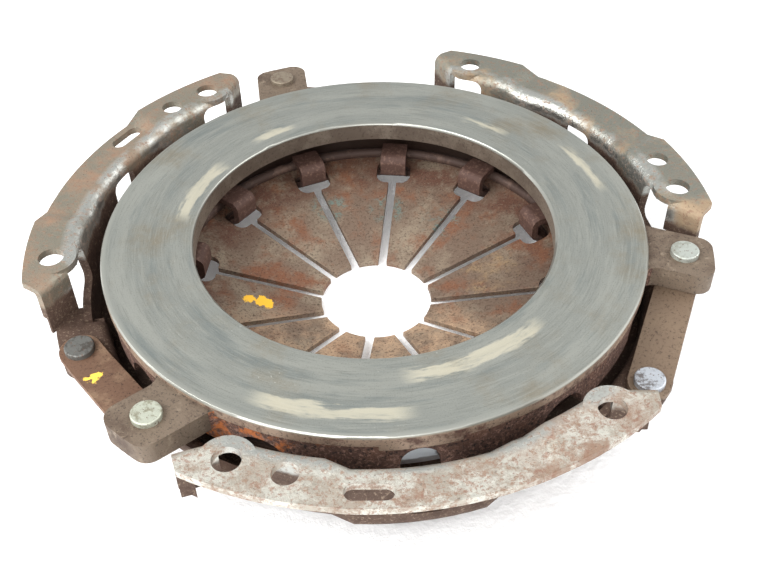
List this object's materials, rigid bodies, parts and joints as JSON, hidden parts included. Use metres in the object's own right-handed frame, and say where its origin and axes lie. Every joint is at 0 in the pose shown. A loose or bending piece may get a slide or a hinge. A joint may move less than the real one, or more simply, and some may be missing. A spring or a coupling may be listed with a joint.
{
  "type": "clutch pressure plate",
  "caption": "Clutch cover assembly: pressed cover with three flange sectors, cast pressure plate, diaphragm spring held by hooked tabs, and riveted drive straps.",
  "frame": {"origin": "centre of the bolt circle, on the flange face that meets the flywheel", "axes": "+Z along the clutch axis towards the flywheel; +X through the bolt hole next to a dowel hole of the first flange sector"},
  "size_m": [0.2456, 0.2393, 0.0404],
  "materials": {
    "cover_steel": "pressed steel, worn bright on the flange and rusty on the walls",
    "cast_iron": "ground grey friction face, brown cast flanks",
    "spring_steel": "spring steel with a brown film of rust",
    "wire_steel": "drawn wire, rusty",
    "strap_steel": "rolled spring steel strip, dull brown grey",
    "rivet_steel": "plated rivets, dulled"
  },
  "bodies": {
    "cover": {"cover": "cover_steel", "diaphragm_spring": "spring_steel", "fulcrum_wire_upper": "wire_steel", "fulcrum_wire_lower": "wire_steel", "cover_rivet_1": "rivet_steel", "cover_rivet_2": "rivet_steel", "cover_rivet_3": "rivet_steel", "strap_1_leaf_1": "strap_steel", "strap_1_leaf_2": "strap_steel", "strap_1_leaf_3": "strap_steel", "strap_2_leaf_1": "strap_steel", "strap_2_leaf_2": "strap_steel", "strap_2_leaf_3": "strap_steel", "strap_3_leaf_1": "strap_steel", "strap_3_leaf_2": "strap_steel", "strap_3_leaf_3": "strap_steel"},
    "plate": {"pressure_plate": "cast_iron", "lug_rivet_1": "rivet_steel", "lug_rivet_2": "rivet_steel", "lug_rivet_3": "rivet_steel"}
  },
  "joints": [
    {"name": "plate_slide", "type": "slide", "parent": "cover", "child": "plate", "axis": [0, 0, -1], "range_m": [0, 0.003], "stiffness_N_per_m": 20000, "springref_m": -0.003, "deforming": ["diaphragm_spring", "strap_1_leaf_1", "strap_1_leaf_2", "strap_1_leaf_3", "strap_2_leaf_1", "strap_2_leaf_2", "strap_2_leaf_3", "strap_3_leaf_1", "strap_3_leaf_2", "strap_3_leaf_3"]}
  ]
}
